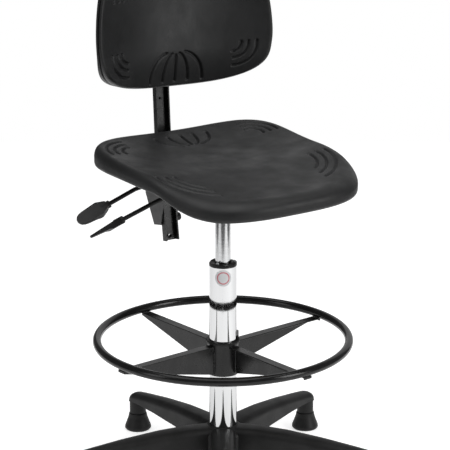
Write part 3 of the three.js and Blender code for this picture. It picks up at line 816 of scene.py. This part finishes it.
def gas_cylinder():
    low, high = box_mm("gas_cylinder")
    radius = high[0]
    profile = rounded([(radius - 1.5, low[2], 0.3), (radius, low[2], 0.5), (radius, high[2] - 2.5, 1),
                       (radius - 2, high[2], 0.8), (3.4, high[2], 0.2), (3.4, high[2] - 5, 0.2),
                       (radius - 1.5, high[2] - 5, 0.5)], 4)
    stand_for(as_object("gas_cylinder_body", turned(profile, 96)), GROUND, "gas_cylinder")


def round_label():
    """A plain pale disc on the tube, where a maker would put a sticker, with nothing printed on it."""
    radius = box_mm("column_tube")[1][0]
    size = 15.2
    middle = 384.0
    facing = math.radians(-120.5)
    sides = 48
    rings = 8
    points = [(0.0, 0.0)]
    for k in range(1, rings + 1):
        points += arc((0, 0), size * k / rings, 0, 360 * (sides - 1) / sides, sides)
    faces = [[0, 1 + i, 1 + (i + 1) % sides] for i in range(sides)]
    numbers = [list(range(1 + k * sides, 1 + (k + 1) * sides)) for k in range(rings)]
    faces += ring_faces(numbers)
    count = len(points)
    edge = ring_faces([numbers[-1], [i + count for i in numbers[-1]]])
    outside = [wrap(x, z + middle, radius + 0.25, facing) for x, z in points]
    inside = [wrap(x, z + middle, radius + 0.02, facing) for x, z in points]
    shape = outside + inside, faces + [[i + count for i in face[::-1]] for face in faces] + edge
    fit(as_object("round_label", shape), label_foil(wrap(0, middle, radius, facing)), "column_tube")


def wrap(x, z, radius, facing):
    """A flat point wrapped round the tube."""
    turn = facing + x / radius
    return (radius * math.cos(turn), radius * math.sin(turn), z)


def label_foil(centre):
    """Pale foil with a thin soft-red ring near its edge, drawn by the distance from the label's centre."""
    look = Look("label_foil", 0.4, specular=0.4)
    reach = look.tree.nodes.new("ShaderNodeVectorMath")
    reach.operation = "DISTANCE"
    reach.inputs[1].default_value = np.array(centre) * MM + AXIS
    look.tree.links.new(look.place, reach.inputs[0])
    ring = look.tree.nodes.new("ShaderNodeMath")
    ring.operation = "COMPARE"
    ring.inputs[1].default_value = 10.5 * MM
    ring.inputs[2].default_value = 1.1 * MM
    look.tree.links.new(reach.outputs["Value"], ring.inputs[0])
    look.colours(ring.outputs[0], (0.66, 0.67, 0.68), (0.56, 0.18, 0.21), 0.4, 0.6)
    look.bumps((look.noise(500, 2), 0.00001))
    return look.material


# ------------------------------------------------------------------ foot ring
def foot_ring():
    low, high = box_mm("foot_ring")
    tube_radius = (high[2] - low[2]) / 2
    radius = (high[0] - low[0]) / 2 - tube_radius
    middle = (high[2] + low[2]) / 2 + 0.8         # drawn a little higher and thicker than the CAD ring
    section = arc((radius, middle), 1.1 * tube_radius, 0, 345, 24)
    stand_for(as_object("foot_ring_tube", turned(section, 180)), GLOSS_PAINT, "foot_ring")


def footring_hub():
    low, high = box_mm("footring_hub")
    outer = high[0]
    bore = 26.4                                   # round the foot ring's plastic bush
    outside = [(outer, low[2], 1.2), (outer, high[2], 1.0)]
    wall = rounded([(bore, low[2], 0.4), *outside, (bore, high[2], 0.4)], 4)
    stand_for(as_object("footring_hub_tube", turned(wall, 112)), PAINT, "footring_hub")


def footring_parts():
    for i in range(4):
        name = f"foot_spoke_{i + 1}"
        stand_for(cad_copy(name, 1.1, 3), PAINT, name)
    stand_for(cad_copy("footring_bush", 0.5, 2), NYLON, "footring_bush")
    weld_beads()


def lumpy_bead(start, end, radius, seed):
    """A weld bead: a line of overlapping ripples between two points."""
    noise = np.random.default_rng(seed)
    steps = 26
    path = [np.array(start) + (np.array(end) - np.array(start)) * t for t in np.linspace(0, 1, steps)]
    ripple = 1 + 0.16 * np.sin(np.linspace(0, steps * 1.5, steps)) + 0.06 * noise.standard_normal(steps)
    ends = np.minimum(1, 4 * np.minimum(np.linspace(0.12, 1, steps), np.linspace(1, 0.12, steps)))
    return swept(path, radius * ripple * ends, 10)


def weld_beads():
    """Beads down both sides of each spoke, where it meets the hub."""
    low, high = box_mm("footring_hub")
    beads = []
    for i in range(4):
        centre = box_centre(f"foot_spoke_{i + 1}")
        turn = Matrix.Rotation(math.atan2(centre[1], centre[0]) - math.pi / 2, 4, "Z")
        for place in (-9.2, -6.2):
            line = [(place, 27.8, z) for z in (low[2] + 6, high[2] - 8)]
            beads.append(moved(lumpy_bead(*line, 1.4, 10 * i - int(place)), turn))
    fit(as_object("footring_welds", together(*beads)), PAINT, "footring_hub")


# ------------------------------------------------------------------ mechanism, levers and bar
def mechanism():
    for name, width in (("mechanism_housing", 1.2), ("seat_plate", 0.7), ("back_bar", 0.9)):
        stand_for(cad_copy(name, width, 3), PAINT, name)
    stand_for(cad_copy("back_carrier", 0.9, 3), BRACKET, "back_carrier")
    stand_for(cad_copy("backrest_bracket", 0.6, 2), PAINT, "backrest_bracket")
    stand_for(cad_copy("bar_guide_block", 1.0, 3), NYLON, "bar_guide_block")
    for name in ("height_lever_bracket", "tilt_lever_bracket"):
        stand_for(cad_copy(name, 0.6, 2), NYLON, name)
    for name in ("seat_board", "backrest_board"):
        stand_for(cad_copy(name, 0.8, 2), PLYWOOD, name)


def bar_fixings():
    """The stop screw at the foot of the bar and the plug in its lower hole."""
    low = box_mm("back_bar")[0]
    lean = math.radians(8.7)                      # of the bar below its bend
    plug_height = 666
    stop = Matrix.Translation((0, low[1] + 1.4, low[2] + 9.5)) @ Matrix.Rotation(math.pi / 2 - lean, 4, "X")
    socket = [(1.4, -1.0, 0), (1.4, 0.6, 0)]
    head = [(2.8, 0.9, 0.3), (3.3, 0, 0.4), (3.3, -8.6, 0), (0, -8.6, 0), (0, -1.0, 0)]
    screw = turned(rounded(socket + head, 3), 28)
    fit(as_object("bar_stop_screw", moved(screw, stop)), PAINT, "back_bar")
    web_back = low[1] + 0.5 + (plug_height - low[2]) * math.tan(lean)
    stem = [(0, -1.3, 0), (2.2, -1.3, 0.3), (2.2, 3.2, 0)]
    plug = rounded(stem + [(3.6, 3.2, 0.4), (3.6, 4.4, 0.5), (0, 4.4, 0)], 3)
    place = Matrix.Translation((0, web_back, plug_height)) @ Matrix.Rotation(-math.pi / 2, 4, "X")
    fit(as_object("bar_hole_plug", moved(turned(plug, 24), place)), NYLON, "back_bar")


def clamp_knob():
    """A small fluted knob on the clamp bolt."""
    low, high = box_mm("clamp_knob")
    centre = box_centre("clamp_knob")
    radius = (high[2] - low[2]) / 2
    turn = np.linspace(0, 2 * math.pi, 96, endpoint=False)
    rings = []
    near = [(low[0], 0.80, 0), (low[0] + 1, 0.88, 0.2), (low[0] + 3, 0.97, 1)]
    far = [(high[0] - 3, 1, 1), (high[0] - 1, 0.94, 0.7), (high[0], 0.82, 0.1), (high[0], 0.3, 0)]
    for x, share, flute in near + far:            # place, share of the radius and depth of the flutes
        size = radius * share * (1 - 0.035 * flute * (1 + np.cos(10 * turn)))
        across, up = centre[1] + size * np.cos(turn), centre[2] + size * np.sin(turn)
        rings.append([(x, y, z) for y, z in zip(across, up)])
    piece = as_object("clamp_knob_grip", loft(rings))
    hole = swept([(low[0] - 3, centre[1], centre[2]), (low[0] + 3, centre[1], centre[2])], 4.1, 32)
    carve(piece, "DIFFERENCE", hole)
    stand_for(piece, NYLON, "clamp_knob")


def lever_pieces():
    for name in ("height", "tilt"):
        stand_for(cad_copy(f"{name}_lever_rod", 0.3, 2), SATIN_PAINT, f"{name}_lever_rod")
        stand_for(cad_copy(f"{name}_lever_paddle", 1.6, 3), NYLON, f"{name}_lever_paddle")


# ------------------------------------------------------------------ stage
PHOTO_TURN = math.radians(-31.7)


def photo_side(across, away, height):
    """A row-frame point given as the camera sees it: to its right, away from it, and up, in metres."""
    cos, sin = math.cos(PHOTO_TURN), math.sin(PHOTO_TURN)
    return Vector((AXIS[0] + cos * across - sin * away, AXIS[1] + sin * across + cos * away, height))


def camera():
    data = bpy.data.cameras.new("camera")
    data.sensor_width = 36
    data.lens = 159.0
    data.clip_end = 60
    made = bpy.data.objects.new("camera", data)
    made.location = photo_side(0.0036, -3.4053, 1.4478)
    made.rotation_euler = (math.radians(90 - 15.93), 0, PHOTO_TURN)
    bpy.context.scene.collection.objects.link(made)
    bpy.context.scene.camera = made


def floor():
    """A strip of white paper under the chair, square to the camera and lit through from below."""
    mesh = bpy.data.meshes.new("floor")
    corners = [(-1.5, -1.42), (1.5, -1.42), (1.5, 2.6), (-1.5, 2.6)]
    mesh.from_pydata([photo_side(x, y, 0.0) for x, y in corners], [], [(0, 1, 2, 3)])
    made = bpy.data.objects.new("floor", mesh)
    bpy.context.scene.collection.objects.link(made)
    paper = Look("paper", 0.85, specular=0.2)
    paper.colours(paper.noise(3, 3), grey(0.80), grey(0.84))
    paper.shader.inputs["Emission Color"].default_value = (1, 1, 1, 1)
    paper.shader.inputs["Emission Strength"].default_value = 0.6
    mesh.materials.append(paper.material)


def area_light(name, place, target, size, power):
    data = bpy.data.lights.new(name, "AREA")
    data.shape = "RECTANGLE"
    data.size, data.size_y = size
    data.energy = power
    made = bpy.data.objects.new(name, data)
    made.location = place
    made.rotation_euler = (target - place).to_track_quat("-Z", "Y").to_euler()
    bpy.context.scene.collection.objects.link(made)


def studio():
    """White paper all round for the camera, a bright backdrop behind and soft boxes above and beside."""
    scene = bpy.context.scene
    scene.view_settings.view_transform = "Standard"
    world = bpy.data.worlds.new("studio")
    world.use_nodes = True
    scene.world = world
    nodes, links = world.node_tree.nodes, world.node_tree.links
    dim = nodes["Background"]
    dim.inputs["Color"].default_value = (0.135, 0.135, 0.138, 1)
    white = nodes.new("ShaderNodeBackground")
    white.inputs["Color"].default_value = (1, 1, 1, 1)
    path = nodes.new("ShaderNodeLightPath")
    mix = nodes.new("ShaderNodeMixShader")
    links.new(path.outputs["Is Camera Ray"], mix.inputs["Fac"])
    links.new(dim.outputs[0], mix.inputs[1])
    links.new(white.outputs[0], mix.inputs[2])
    links.new(mix.outputs[0], nodes["World Output"].inputs["Surface"])
    middle = photo_side(0, 0, 0.5)
    area_light("overhead", photo_side(-0.1, -0.4, 3.0), photo_side(0, -0.1, 0), (3.2, 3.2), 70)
    area_light("left_box", photo_side(-2.3, -1.3, 1.3), middle, (0.9, 1.8), 12)
    area_light("right_box", photo_side(2.3, -1.3, 1.3), middle, (0.9, 1.8), 40)
    area_light("backdrop", photo_side(0.8, 3.2, 1.5), middle, (3.6, 2.6), 16)


# ------------------------------------------------------------------ making the chair
camera()
floor()
studio()
dress_cad_nodes()
seat_cushion()
backrest_foam_piece()
star_base()
glides()
column()
column_collar()
gas_cylinder()
round_label()
foot_ring()
footring_hub()
footring_parts()
mechanism()
bar_fixings()
clamp_knob()
lever_pieces()
